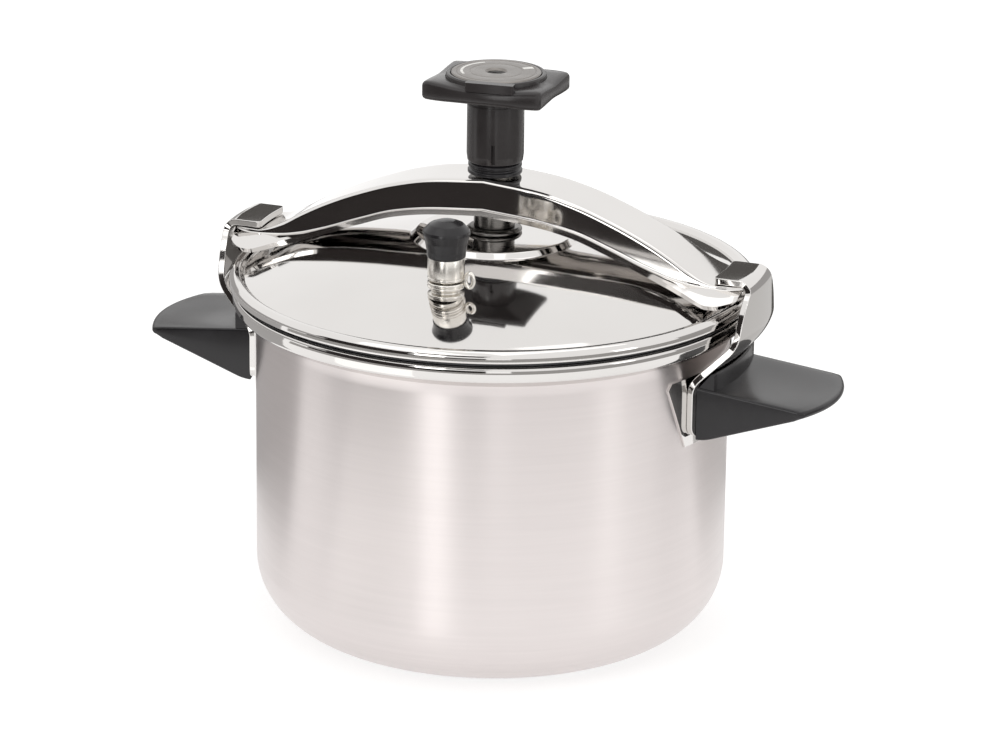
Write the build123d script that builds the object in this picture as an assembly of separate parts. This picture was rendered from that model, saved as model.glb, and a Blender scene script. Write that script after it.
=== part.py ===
"""Stovetop pressure cooker with a screw-clamped stirrup, 220 mm inside diameter, 6 litres.

Frame: origin at the centre of the base, +Z up, +X along the stirrup, steam valve on the -Y side.
All sizes are in millimetres. Each function returns one piece, and the table at the end writes them.
"""

import math
import os

from build123d import *

# ---------------------------------------------------------------- driving dimensions
POT_R = 111.0          # outside radius of the pot's wall
WALL = 1.2             # stainless sheet of the pot and the lid
CORNER_R = 33.0        # outside radius between base and wall
BASE_Z = 5.0           # underside of the vessel, on top of the base sandwich
CAP_T = 0.8            # steel skin of the base
COLLAR_R = 122.0       # curled rim of the pot
COLLAR_LOW_Z = 151.4
COLLAR_Z = 163.0       # flat top of the curled rim, on which the gasket lies

LID_R = 123.3          # outside of the lid's rolled edge
LID_LOW_Z = 165.4      # lower edge of the lid
LID_DISC_R = 36.0      # flat disc in the middle of the lid
LID_DISC_Z = 190.3
DOME_TOP_Z = 189.9     # where the dome would meet the axis, if it weren't for the disc
DOME_R = 337.0         # spherical radius of the dome
GROOVE_R = 116.6       # crease between the dome and the rolled edge

LUG_T = 3.0            # sheet of the two lugs
LUG_R = 113.4          # middle of the lug's sheet on the wall
LUG_OUT_R = 130.3      # middle of the lug's sheet beside the lid
LUG_LOW_Z = 113.0
LUG_TOP_Z = 185.0
HOOK_TIP_R = 113.0
SADDLE_T = 0.8

BOW_T = 2.5            # sheet of the stirrup
BOW_END_R = 126.6
# station along X: top, lower edge, half width of top, of wall, of lip, droop of the lip
BOW_STATIONS = [
    (0.0, 218.5, 204.5, 15.0, 15.8, 17.9, 0.0),
    (26.0, 216.0, 203.0, 15.0, 15.8, 17.9, 0.0),
    (44.0, 212.0, 200.4, 15.0, 15.8, 18.0, 0.0),
    (62.0, 205.8, 195.8, 15.0, 15.9, 18.3, 0.0),
    (80.0, 198.0, 189.4, 15.0, 16.0, 19.2, 0.2),
    (92.0, 191.6, 184.4, 15.0, 16.2, 21.4, 0.9),
    (101.0, 186.2, 180.6, 15.0, 16.4, 24.2, 2.2),
    (108.0, 182.9, 178.6, 15.0, 16.6, 26.8, 3.8),
    (113.5, 181.6, 177.9, 15.0, 16.4, 28.2, 4.8),
    (119.5, 181.6, 177.6, 14.0, 15.4, 27.0, 4.6),
    (124.0, 181.6, 177.6, 12.5, 13.8, 23.4, 4.0),
    (128.0, 181.6, 177.6, 11.0, 12.2, 17.0, 3.2),
]

SCREW_R = 6.9          # clamp screw over its thread
SPIGOT_R = 4.0         # plain end of the screw, in the foot
SHANK_R = 5.0          # upper end of the screw, in the knob
FIT = 0.08             # radial clearance of a turning fit
THREAD_PITCH = 3.0

STEM_R = 13.3          # knob's stem
STEM_LOW_Z = 224.6
HEAD_LOW_Z = 255.8
HEAD_TOP_Z = 264.0
HEAD_LONG, HEAD_SHORT = 58.0, 41.6   # knob's head between its corners
HEAD_BULGE = 4.6       # how far its long sides bow out
HEAD_TURN = 1.0       # degrees the knob's head stands off square

VALVE_Y = -75.0        # steam valve
SAFETY_Y = 75.0        # safety valve
LID_TURN = 4.0         # degrees the lid stands turned from the stirrup, so the valves do too
CHIMNEY_R = 4.0

HANDLE_HALF = 30.6     # half width of a handle at the pot
STUD_Z = 123.0
SEAT = 0.05            # between pieces that are fastened together

os.makedirs("parts", exist_ok=True)
LOW = (Align.CENTER, Align.CENTER, Align.MIN)


# ---------------------------------------------------------------- helpers
def ring(outer, inner, z0, z1, y=0.0):
    """A plain ring about the vertical through (0, y), or a disc where inner is 0."""
    body = Cylinder(outer, z1 - z0, align=LOW)
    if inner > 0:
        body -= Cylinder(inner, z1 - z0, align=LOW)
    return Pos(0, y, z0) * body


def cone(low_r, high_r, z0, z1, y=0.0):
    return Pos(0, y, z0) * Cone(low_r, high_r, z1 - z0, align=LOW)


def hexagon(across_flats, z0, z1, y=0.0):
    flat = RegularPolygon(across_flats / 2, 6, major_radius=False)
    return Pos(0, y, z0) * extrude(flat, z1 - z0)


def upright(face):
    """A face drawn as (radius, height) in XY, stood up in the XZ plane."""
    return Rot(90, 0, 0) * face


def spin(face, degrees=360.0):
    return revolve(upright(face), Axis.Z, degrees)


def at(face, point):
    """The face's vertex nearest to a point."""
    return face.vertices().sort_by_distance(Vector(*point))[0]


def bent_sheet(points, thickness, bend):
    """Sheet seen edge on: straight runs through the points, with a middle radius at each bend."""
    left, right = [], []
    for i, (x, z) in enumerate(points):
        before, after = points[max(i - 1, 0)], points[min(i + 1, len(points) - 1)]
        normals = []
        for a, b in ((before, (x, z)), ((x, z), after)):
            length = math.dist(a, b)
            if length:
                normals.append(((a[1] - b[1]) / length, (b[0] - a[0]) / length))
        nx = sum(n[0] for n in normals)
        nz = sum(n[1] for n in normals)
        reach = thickness / 2 * len(normals) / (nx * nx + nz * nz)
        left.append((x + nx * reach, z + nz * reach))
        right.append((x - nx * reach, z - nz * reach))
    face = make_face(Polyline(*left, *reversed(right), close=True))
    for i in range(1, len(points) - 1):
        (x0, z0), (x1, z1), (x2, z2) = points[i - 1:i + 2]
        turns_left = (x1 - x0) * (z2 - z1) - (z1 - z0) * (x2 - x1) > 0
        inner, outer = (left[i], right[i]) if turns_left else (right[i], left[i])
        face = fillet([at(face, inner)], bend - thickness / 2)
        face = fillet([at(face, outer)], bend + thickness / 2)
    return face


def dome(offset):
    """The ball whose upper side is the dome's outer surface moved by offset."""
    return Pos(0, 0, DOME_TOP_Z - DOME_R) * Sphere(DOME_R + offset)


def other_side(piece):
    """The same piece at the other end of the stirrup."""
    return Rot(0, 0, 180) * piece


# ---------------------------------------------------------------- pot
def corner_r(z, sheet=0.0):
    """Radius of the rounded bottom corner at a height, inside the sheet if asked."""
    r = CORNER_R - sheet
    return POT_R - CORNER_R + math.sqrt(r * r - (CORNER_R - z) ** 2)


def corner_arc(z, sheet=0.0):
    """Arc of the bottom corner from height z up to the straight wall."""
    r, cx, cz = CORNER_R - sheet, POT_R - CORNER_R, CORNER_R
    start = math.atan2(z - cz, corner_r(z, sheet) - cx)
    mid = start / 2
    return ThreePointArc((corner_r(z, sheet), z), (cx + r * math.cos(mid), cz + r * math.sin(mid)),
                         (cx + r, cz))


def pot_shell():
    """Drawn vessel with a flat, curled rim."""
    inner_z = BASE_Z + WALL
    edges = [
        Line((0, BASE_Z), (corner_r(BASE_Z), BASE_Z)),
        corner_arc(BASE_Z),
        Polyline((POT_R, CORNER_R), (POT_R, COLLAR_Z - WALL), (COLLAR_R - WALL, COLLAR_Z - WALL),
                 (COLLAR_R - WALL, 158.2)),
        ThreePointArc((COLLAR_R - WALL, 158.2), (118.3, 154.6), (112.0, 152.6)),
        Line((112.0, 152.6), (112.2, COLLAR_LOW_Z)),
        ThreePointArc((112.2, COLLAR_LOW_Z), (119.2, 153.6), (COLLAR_R, 158.0)),
        Line((COLLAR_R, 158.0), (COLLAR_R, COLLAR_Z - 1.8)),
        ThreePointArc((COLLAR_R, COLLAR_Z - 1.8), (COLLAR_R - 0.53, COLLAR_Z - 0.53),
                      (COLLAR_R - 1.8, COLLAR_Z)),
        Polyline((COLLAR_R - 1.8, COLLAR_Z), (POT_R - WALL, COLLAR_Z), (POT_R - WALL, CORNER_R)),
        corner_arc(inner_z, WALL),
        Polyline((corner_r(inner_z, WALL), inner_z), (0, inner_z), (0, BASE_Z)),
    ]
    return spin(make_face(Wire([e for part in edges for e in part.edges()])))


def heat_spreader():
    """Aluminium disc inside the base."""
    z0, z1 = CAP_T + SEAT, BASE_Z - SEAT
    return cone(corner_r(z0 + 1.2) - 2.4, corner_r(z1) - 1.4, z0, z1)


def base_cap():
    """Steel skin under the spreader, carrying the pot's corner on down to the stove."""
    top = BASE_Z - SEAT
    low_mid = 1.4
    outer = make_face(Polyline((0, 0), (corner_r(0.0), 0), (corner_r(low_mid), low_mid),
                               (corner_r(3.0), 3.0), (corner_r(top), top), (0, top), close=True))
    z0 = CAP_T
    hollow = Pos(0, 0, z0) * Cone(corner_r(z0 + 1.2) - 2.3, corner_r(top) - 1.3, top - z0, align=LOW)
    return spin(outer) - hollow


# ---------------------------------------------------------------- lugs, saddles and handles
def lug():
    """Stamped plate from the wall up past the lid, ending in the hook over the stirrup's end."""
    section = bent_sheet([(LUG_R, LUG_LOW_Z), (LUG_R, 138.0), (LUG_OUT_R, 157.0),
                          (LUG_OUT_R, LUG_TOP_Z - LUG_T / 2), (HOOK_TIP_R, LUG_TOP_Z - LUG_T / 2)],
                         LUG_T, 4.0)
    plate = Rot(0, 0, -25) * spin(section, 50)
    half = [(33.0, LUG_LOW_Z), (33.0, 140.0), (29.2, 150.0), (25.0, 163.0), (21.6, 173.5),
            (14.6, 179.5), (14.6, LUG_TOP_Z + 2)]
    bell = make_face(Polyline(*half, *[(-y, z) for y, z in reversed(half)], close=True))
    for y, z in half[1:-1]:
        for s in (y, -y):
            bell = fillet([at(bell, (s, z))], 6.0 if z > 170 else 9.0)
    for s in (33.0, -33.0):
        bell = fillet([at(bell, (s, LUG_LOW_Z))], 5.0)
    cutter = Pos(HOOK_TIP_R - 20, 0, 0) * extrude(Plane.YZ * bell, 60)
    return plate & cutter


def saddle():
    """Thin plate between the lug and the wall, wider than the lug."""
    inner = POT_R + SEAT
    band = ring(inner + SADDLE_T, inner, 108.5, 141.5)
    half = [(33.0, 108.5), (45.0, 138.5), (43.0, 141.5)]
    shape = make_face(Polyline(*half, *[(-y, z) for y, z in reversed(half)], close=True))
    return band & (Pos(60, 0, 0) * extrude(Plane.YZ * shape, 80))


def handle():
    """Wedge-shaped grip with an upright block under the lug's slope and a pocket for the nut."""
    side = make_face(Polyline((104, 111.5), (119, 111.5), (168.0, 128.0), (169.6, 129.4),
                              (167.6, 131.4), (104, 137.9), close=True))
    body = Pos(0, HANDLE_HALF, 0) * extrude(upright(side), 2 * HANDLE_HALF, dir=(0, -1, 0))
    wide = HANDLE_HALF - 0.4
    plan = Wire([Line((95, -wide), (161.5, -wide)), ThreePointArc((161.5, -wide), (169.6, 0), (161.5, wide)),
                 Line((161.5, wide), (95, wide)), Line((95, wide), (95, -wide))])
    outline = fillet([at(make_face(plan), (161.5, -wide))], 2.0)
    outline = fillet([at(outline, (161.5, wide))], 2.0)
    body = body & (Pos(0, 0, 100) * extrude(outline, 60))
    inner = LUG_R + LUG_T / 2 + SEAT
    body -= ring(inner, 0, 100, 150)
    riser = spin(make_face(Polyline((inner + 1.3, 128), (122.7, 128), (122.7, 145.5), (117.2, 139.2),
                                    (inner + 1.3, 138.0), close=True)))
    body = body + (riser & Pos(115, 0, 140) * Box(40, 58.8, 40))
    body -= Pos(0, 0, STUD_Z) * Rot(0, 90, 0) * Cylinder(3.1, 150, align=LOW) & Pos(75, 0, 120) * Box(130, 20, 60)
    body -= Pos(131.5, 0, 100) * Box(13, 15, 29.2, align=(Align.MIN, Align.CENTER, Align.MIN))
    return body


def along_x(outer, inner, x0, x1):
    """A round piece about the stud's axis."""
    body = Cylinder(outer, x1 - x0, align=LOW)
    if inner > 0:
        body -= Cylinder(inner, x1 - x0, align=LOW)
    return Pos(x0, 0, STUD_Z) * Rot(0, 90, 0) * body


def handle_studs():
    """Threaded studs welded to the lugs, one a side."""
    stud = along_x(3.0, 0, LUG_R + LUG_T / 2 + SEAT, 139.0)
    for i in range(6):
        stud -= along_x(3.2, 2.6, 133.2 + i, 133.6 + i)
    return stud + other_side(stud)


def handle_washers():
    washer = along_x(5.6, 3.2, 131.55, 132.65)
    return washer + other_side(washer)


def handle_nuts():
    nut = Pos(132.7, 0, STUD_Z) * Rot(0, 90, 0) * extrude(RegularPolygon(4.6, 6, major_radius=False), 4.0)
    nut -= along_x(3.05, 0, 130, 140)
    return nut + other_side(nut)


# ---------------------------------------------------------------- lid
def lid_shell():
    """Domed lid with a flat raised disc in the middle and a rolled edge."""
    def arc_z(r, drop=0.0):
        return DOME_TOP_Z - drop - DOME_R + math.sqrt(DOME_R ** 2 - r * r)

    edge = 38.8
    drop = WALL
    outer = [
        Polyline((0, LID_DISC_Z), (LID_DISC_R, LID_DISC_Z), (edge, arc_z(edge))),
        ThreePointArc((edge, arc_z(edge)), (80, arc_z(80)), (GROOVE_R, arc_z(GROOVE_R))),
        ThreePointArc((GROOVE_R, arc_z(GROOVE_R)), (120.1, 170.5), (LID_R, 167.2)),
        Polyline((LID_R, 167.2), (LID_R, LID_LOW_Z), (LID_R - WALL, LID_LOW_Z), (LID_R - WALL, 166.9)),
        ThreePointArc((LID_R - WALL, 166.9), (119.9, 169.2), (GROOVE_R + 0.7, arc_z(GROOVE_R + 0.7, drop))),
        ThreePointArc((GROOVE_R + 0.7, arc_z(GROOVE_R + 0.7, drop)), (80, arc_z(80, drop)),
                      (edge - 0.5, arc_z(edge - 0.5, drop))),
        Polyline((edge - 0.5, arc_z(edge - 0.5, drop)), (LID_DISC_R - 0.5, LID_DISC_Z - drop),
                 (0, LID_DISC_Z - drop), (0, LID_DISC_Z)),
    ]
    shell = spin(make_face(Wire([e for part in outer for e in part.edges()])))
    shell -= ring(CHIMNEY_R + 0.1, 0, 170, 200, VALVE_Y)
    shell -= ring(5.1, 0, 170, 200, SAFETY_Y)
    return shell


def lid_gasket():
    """Silicone gasket in the lid's edge, with a lip that drops inside the pot's mouth."""
    z0 = COLLAR_Z + 0.3
    return spin(make_face(Polyline(
        (106.2, z0 - 2.6), (109.3, z0 - 2.6), (109.3, z0), (119.4, z0), (119.4, 166.9), (116.4, 167.2),
        (111.8, 168.6), (108.4, 169.6), (106.2, 168.4), close=True)))


# ---------------------------------------------------------------- steam valve
def valve_chimney():
    """Steam tube, bored right through, that the weight sits on."""
    return ring(CHIMNEY_R, 1.2, 169.0, 205.0, VALVE_Y)


def valve_nut():
    return hexagon(14.0, 171.0, 175.4, VALVE_Y) - ring(CHIMNEY_R + SEAT, 0, 160, 190, VALVE_Y)


def under_lid_seal(y, hole):
    """Silicone washer shaped to the inside of the dome."""
    return ring(9.0, hole, 175.5, 190.0, y) & dome(-WALL - SEAT)


def valve_base():
    """Shaped steel washer that gives the collar a level seat on the dome."""
    return ring(9.2, CHIMNEY_R + SEAT, 176.0, 184.6, VALVE_Y) - dome(SEAT)


def valve_collar():
    """Turning collar with a rounded ear."""
    collar = ring(9.5, 0, 184.95, 188.1, VALVE_Y)
    collar += Pos(9.6, VALVE_Y + 1.5, 184.95) * Cylinder(3.6, 3.15, align=LOW)
    collar = collar - ring(CHIMNEY_R + FIT, 0, 180, 190, VALVE_Y)
    return collar - Pos(9.9, VALVE_Y + 1.5, 184) * Cylinder(1.2, 6, align=LOW)


def valve_weight():
    """Steel weight over the chimney."""
    body = ring(8.45, 0, 188.5, 199.3, VALVE_Y) + ring(7.2, 0, 199.3, 212.4, VALVE_Y)
    body -= ring(CHIMNEY_R + FIT, 0, 188, 205.4, VALVE_Y)
    body -= ring(2.0, 0, 205, 210.9, VALVE_Y)
    return body - (ring(9, 8.1, 190.0, 190.6, VALVE_Y))


def valve_needle():
    """Pin that closes the chimney's bore."""
    return cone(0.4, 1.1, 203.9, 204.9, VALVE_Y) + ring(1.1, 0, 204.9, 205.4, VALVE_Y) + \
        ring(1.95, 0, 205.4, 210.8, VALVE_Y)


def valve_cap():
    """Black cap over the weight, wider at the top."""
    outer = make_face(Polyline((0, 199.35), (8.9, 199.35), (9.2, 203.0), (10.9, 210.0), (10.8, 211.6),
                               (7.8, 214.8), (4.0, 216.3), (0, 216.7), close=True))
    cap = Pos(0, VALVE_Y, 0) * spin(outer)
    return cap - ring(7.25, 0, 199, 212.5, VALVE_Y)


# ---------------------------------------------------------------- safety valve
def safety_body():
    """Threaded body with a hexagon above the lid and an open throat."""
    body = ring(5.0, 0, 170.0, 184.0, SAFETY_Y) + (hexagon(14.0, 176, 187.0, SAFETY_Y) - dome(SEAT))
    return body - ring(3.4, 0, 169, 184.5, SAFETY_Y) - ring(1.58, 0, 180, 190, SAFETY_Y)


def safety_nut():
    return hexagon(15.0, 171.0, 175.4, SAFETY_Y) - ring(5.05, 0, 160, 190, SAFETY_Y)


def safety_seat():
    """Plug with the vent hole, screwed into the body from below."""
    return ring(3.35, 1.4, 170.0, 172.4, SAFETY_Y)


def safety_plunger():
    """Disc on the vent hole, with a stem out through the top."""
    return ring(2.9, 0, 172.75, 174.8, SAFETY_Y) + ring(1.5, 0, 174.8, 189.0, SAFETY_Y)


def safety_spring():
    z0, z1, wire_r, coil_r, turns = 174.9, 184.4, 0.28, 2.35, 6
    height = z1 - z0 - 2 * wire_r
    helix = Helix(height / turns, height, coil_r)
    spring = sweep(Plane(origin=helix @ 0, z_dir=helix % 0) * Circle(wire_r), helix)
    return Pos(0, SAFETY_Y, z0 + wire_r) * spring


# ---------------------------------------------------------------- stirrup, screw and foot
def bow():
    """Stirrup of channel section with a turned-out lip, fanned at both ends."""
    def section(x, top, low, half_top, half_wall, half_lip, droop):
        t = BOW_T
        right = [(half_top - 2.4, top), (half_top, top - 1.6), (half_wall, low + t),
                 (half_lip, low + t - droop), (half_lip, low - droop), (half_wall - t * 0.8, low),
                 (half_top - t, top - t - 0.4)]
        points = right + [(-y, z) for y, z in reversed(right)]
        return make_face(Polyline(*[(x, y, z) for y, z in points], close=True))

    halves = [section(*row) for row in BOW_STATIONS]
    far = [section(-row[0], *row[1:]) for row in reversed(BOW_STATIONS[1:])]
    body = loft(far + halves, ruled=True)
    body = body & ring(BOW_END_R, 0, 160, 230)
    return body - ring(9.05, 0, 200, 230)


def bow_nut():
    """Threaded bush under the crown, with a hexagon that the channel keeps from turning."""
    body = hexagon(24.0, 206.9, 214.0) + ring(9.0, 0, 214.0, 223.6)
    return body - ring(SCREW_R + FIT, 0, 200, 230)


def bow_collar():
    """Grooved collar round the bush, under the knob."""
    body = ring(12.6, 9.05, 218.6, 224.2)
    return body - ring(14, 11.9, 220.9, 221.7)


def clamp_screw():
    """Spindle: shank in the knob, thread in the bush, plain spigot in the foot."""
    body = ring(SPIGOT_R, 0, 193.3, 200.8) + ring(SCREW_R, 0, 200.8, 233.0) + ring(SHANK_R, 0, 233.0, 261.0)
    root = SCREW_R - 1.1
    groove = make_face(Polyline((root, 0.0), (SCREW_R + 0.2, -0.95), (SCREW_R + 0.2, 0.95), close=True))
    for i in range(10):
        body -= spin(Pos(0, 202.6 + i * THREAD_PITCH) * groove)
    body -= ring(SPIGOT_R + 1, 3.2, 193.8, 194.9)
    return body - ring(1.9, 0, 249.5, 262)


def foot_clip():
    """Spring clip in the spigot's groove, keeping the foot on the screw."""
    clip = ring(5.4, 3.25, 193.9, 194.8)
    return clip - Pos(0, 5, 194.35) * Box(2.2, 8, 3)


def pressure_foot():
    """Hub that swivels on the spigot and carries the pad."""
    return ring(9.6, 0, 193.0, 200.4) - ring(SPIGOT_R + FIT, 0, 190, 202) - ring(5.9, 0, 192, 195.5)


def foot_pad():
    """Pad that presses on the lid's disc."""
    pad = ring(13.0, 0, 190.6, 192.95)
    return chamfer(pad.edges().group_by(Axis.Z)[-1], 0.7)


# ---------------------------------------------------------------- knob
def knob():
    """One moulding: round stem and a four-cornered head with bowed long sides."""
    a, b, c = HEAD_LONG / 2, HEAD_SHORT / 2, HEAD_SHORT / 2 + HEAD_BULGE
    plan = Wire([Line((a, -b), (a, b)), ThreePointArc((a, b), (0, c), (-a, b)),
                 Line((-a, b), (-a, -b)), ThreePointArc((-a, -b), (0, -c), (a, -b))])
    plan = make_face(plan)
    plan = fillet(plan.vertices(), 4.0)
    head = Pos(0, 0, HEAD_LOW_Z) * extrude(plan, HEAD_TOP_Z - HEAD_LOW_Z)
    head = fillet(head.edges().group_by(Axis.Z)[-1] + head.edges().group_by(Axis.Z)[0], 1.5)
    head = Rot(0, 0, HEAD_TURN) * head
    body = head + ring(STEM_R, 0, STEM_LOW_Z, HEAD_LOW_Z + 1) + cone(STEM_R, 18.0, 252.5, HEAD_LOW_Z + 0.5)
    body -= ring(SCREW_R + 0.1, 0, 224, 233.4)
    body -= ring(SHANK_R + SEAT, 0, 233, 261.1)
    body -= ring(2.2, 0, 260, 265)
    slot = Pos(0, -STEM_R, 225.8) * Box(1.5, 2.4, 9.0, align=LOW)
    return body - Rot(0, 0, 18) * slot


def knob_ring():
    """Raised ring on the head, round the disc."""
    return cone(23.7, 22.9, HEAD_TOP_Z + SEAT, 266.6) - ring(21.1, 0, 260, 270)


def knob_disc():
    """Metal cover disc with a hole for the screw."""
    disc = ring(21.0, 0, HEAD_TOP_Z + SEAT, 267.4)
    disc = chamfer(disc.edges().group_by(Axis.Z)[-1], 0.5)
    disc -= ring(12.6, 12.0, 267.1, 268)
    return disc - ring(4.2, 0, 260, 270)


def knob_screw():
    """Screw that holds the knob on the spindle."""
    head = ring(3.9, 0, HEAD_TOP_Z + SEAT, 266.0) - Pos(0, 0, 265.2) * Box(9, 1.1, 3, align=LOW)
    return head + ring(1.85, 0, 250.0, HEAD_TOP_Z + SEAT)


# ---------------------------------------------------------------- output
PIECES = {
    "pot_shell": pot_shell, "heat_spreader": heat_spreader, "base_cap": base_cap,
    "lug_right": lug, "lug_left": lambda: other_side(lug()),
    "saddle_right": saddle, "saddle_left": lambda: other_side(saddle()),
    "handle_right": handle, "handle_left": lambda: other_side(handle()),
    "handle_studs": handle_studs, "handle_washers": handle_washers, "handle_nuts": handle_nuts,
    "lid_shell": lid_shell, "lid_gasket": lid_gasket,
    "valve_chimney": valve_chimney, "valve_nut": valve_nut,
    "valve_seal": lambda: under_lid_seal(VALVE_Y, CHIMNEY_R + SEAT),
    "valve_base": valve_base, "valve_collar": valve_collar,
    "valve_weight": valve_weight, "valve_needle": valve_needle, "valve_cap": valve_cap,
    "safety_body": safety_body, "safety_nut": safety_nut,
    "safety_seal": lambda: under_lid_seal(SAFETY_Y, 5.05),
    "safety_seat": safety_seat, "safety_plunger": safety_plunger, "safety_spring": safety_spring,
    "stirrup": bow, "stirrup_nut": bow_nut, "stirrup_collar": bow_collar,
    "clamp_screw": clamp_screw, "foot_clip": foot_clip, "foot_hub": pressure_foot, "foot_pad": foot_pad,
    "knob": knob, "knob_ring": knob_ring, "knob_disc": knob_disc, "knob_screw": knob_screw,
}

ON_LID = ("valve_", "safety_", "lid_")

for name, make in PIECES.items():
    piece = make()
    if name.startswith(ON_LID):
        piece = Rot(0, 0, LID_TURN) * piece
    export_step(piece, f"parts/{name}.step")
    print(f"{name}: {piece.volume / 1000:.2f} cm3, valid {piece.is_valid}")
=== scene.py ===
"""Stovetop pressure cooker: visual model on the CAD frame, materials, studio and camera."""

import math

import bmesh
import bpy
from mathutils import Matrix, Vector


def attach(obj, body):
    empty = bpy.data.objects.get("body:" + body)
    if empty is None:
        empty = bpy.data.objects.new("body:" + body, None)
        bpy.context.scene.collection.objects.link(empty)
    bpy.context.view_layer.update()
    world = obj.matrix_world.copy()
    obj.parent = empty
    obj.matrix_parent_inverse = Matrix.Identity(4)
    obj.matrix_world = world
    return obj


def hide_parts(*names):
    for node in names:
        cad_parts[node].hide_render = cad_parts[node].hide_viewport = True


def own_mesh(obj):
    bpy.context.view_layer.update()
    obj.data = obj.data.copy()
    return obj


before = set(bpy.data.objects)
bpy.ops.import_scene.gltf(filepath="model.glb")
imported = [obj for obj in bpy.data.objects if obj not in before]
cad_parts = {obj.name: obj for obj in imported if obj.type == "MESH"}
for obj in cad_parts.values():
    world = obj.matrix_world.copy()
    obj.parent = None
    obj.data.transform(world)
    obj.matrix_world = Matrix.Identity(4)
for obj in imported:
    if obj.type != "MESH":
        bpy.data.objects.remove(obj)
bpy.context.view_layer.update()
MM = 0.001


# ---------------------------------------------------------------- mesh helpers (sizes in millimetres)
def mesh_object(name, verts, faces, sharp=32.0):
    """A smooth object with edges sharper than an angle kept sharp."""
    mesh = bpy.data.meshes.new(name)
    mesh.from_pydata([(x * MM, y * MM, z * MM) for x, y, z in verts], [], faces)
    mesh.validate()
    mesh.update()
    for polygon in mesh.polygons:
        polygon.use_smooth = True
    mesh.set_sharp_from_angle(angle=math.radians(sharp))
    piece = bpy.data.objects.new(name, mesh)
    bpy.context.scene.collection.objects.link(piece)
    return piece


def soften(points, radius, steps=5, closed=True):
    """Rounds the corners of a polygon of (a, b) points. radius is one number or one per corner."""
    out = []
    count = len(points)
    for i, point in enumerate(points):
        r = radius[i] if isinstance(radius, (list, tuple)) else radius
        if r <= 0 or (not closed and i in (0, count - 1)):
            out.append(tuple(point))
            continue
        p = Vector(point)
        a, b = Vector(points[i - 1]) - p, Vector(points[(i + 1) % count]) - p
        la, lb = a.length, b.length
        if la < 1e-6 or lb < 1e-6:
            out.append(tuple(point))
            continue
        half = a.angle(b) / 2
        if half > math.radians(88):
            reach = min(r, la, lb) * 0.4
            out += [tuple(p + (a / la) * reach * (1 - 2 * k / steps) if 2 * k < steps
                          else p + (b / lb) * reach * (2 * k / steps - 1)) for k in range(steps + 1)]
            continue
        cut = min(r / math.tan(half), la * 0.48, lb * 0.48)
        r = cut * math.tan(half)
        a, b = a / la, b / lb
        centre = p + (a + b).normalized() * (r / math.sin(half))
        start, end = p + a * cut - centre, p + b * cut - centre
        total = start.angle(end)
        turn = 1 if start.x * end.y - start.y * end.x > 0 else -1
        for k in range(steps + 1):
            t = total * k / steps * turn
            c, s = math.cos(t), math.sin(t)
            out.append((centre.x + start.x * c - start.y * s, centre.y + start.x * s + start.y * c))
    return out


def arc(cx, cz, r, a0, a1, steps=24):
    """Points of an arc in the (radius, height) plane, angles in degrees."""
    return [(cx + r * math.cos(math.radians(a0 + (a1 - a0) * k / steps)),
             cz + r * math.sin(math.radians(a0 + (a1 - a0) * k / steps))) for k in range(steps + 1)]


def lathe(name, profile, around=192, x=0.0, y=0.0, sharp=32.0):
    """A closed (radius, height) profile turned about the vertical through (x, y)."""
    verts, faces, rows = [], [], []
    for r, z in profile:
        if r < 1e-4:
            rows.append([len(verts)] * around)
            verts.append((x, y, z))
        else:
            rows.append(list(range(len(verts), len(verts) + around)))
            verts += [(x + r * math.cos(2 * math.pi * k / around),
                       y + r * math.sin(2 * math.pi * k / around), z) for k in range(around)]
    count = len(profile)
    for i in range(count):
        a, b = rows[i], rows[(i + 1) % count]
        for k in range(around):
            quad = [a[k], a[(k + 1) % around], b[(k + 1) % around], b[k]]
            quad = [v for j, v in enumerate(quad) if v != quad[j - 1]]
            if len(set(quad)) >= 3:
                faces.append(quad)
    piece = mesh_object(name, verts, faces, sharp)
    outward(piece)
    return piece


def rings(profile, around=48):
    """Rows of points round the vertical axis, one for each (radius, height)."""
    return [[(r * math.cos(2 * math.pi * k / around), r * math.sin(2 * math.pi * k / around), z)
             for k in range(around)] for r, z in profile]


def outward(piece):
    """Makes the normals point outward."""
    mesh = bmesh.new()
    mesh.from_mesh(piece.data)
    bmesh.ops.recalc_face_normals(mesh, faces=mesh.faces)
    mesh.to_mesh(piece.data)
    mesh.free()


def grid(name, rows, sharp=32.0, closed_rows=False, caps=False):
    """A surface through rows of points. closed_rows joins each row's end to its start."""
    width = len(rows[0])
    verts = [p for row in rows for p in row]
    faces = []
    for i in range(len(rows) - 1):
        for k in range(width if closed_rows else width - 1):
            a, b = i * width + k, i * width + (k + 1) % width
            faces.append((a, b, b + width, a + width))
    if caps:
        faces.append(tuple(range(width)))
        faces.append(tuple(range((len(rows) - 1) * width, len(rows) * width))[::-1])
    piece = mesh_object(name, verts, faces, sharp)
    outward(piece)
    return piece


def thicken(piece, thickness, offset, bevel):
    """Gives a surface the thickness of a sheet, with its edges broken."""
    solid = piece.modifiers.new("sheet", "SOLIDIFY")
    solid.thickness = thickness * MM
    solid.offset = offset
    solid.use_even_offset = True
    edge = piece.modifiers.new("edge", "BEVEL")
    edge.width = bevel * MM
    edge.segments = 3
    edge.limit_method = "ANGLE"
    edge.angle_limit = math.radians(50)
    edge.harden_normals = True


def turned(piece, name):
    """A copy at the other end of the stirrup."""
    twin = bpy.data.objects.new(name, piece.data.copy())
    bpy.context.scene.collection.objects.link(twin)
    twin.data.transform(Matrix.Rotation(math.pi, 4, "Z"))
    for old in piece.modifiers:
        new = twin.modifiers.new(old.name, old.type)
        for prop in old.bl_rna.properties:
            if not prop.is_readonly and prop.identifier not in ("name", "type"):
                try:
                    setattr(new, prop.identifier, getattr(old, prop.identifier))
                except (AttributeError, TypeError, RuntimeError):
                    pass
    return twin


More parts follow.
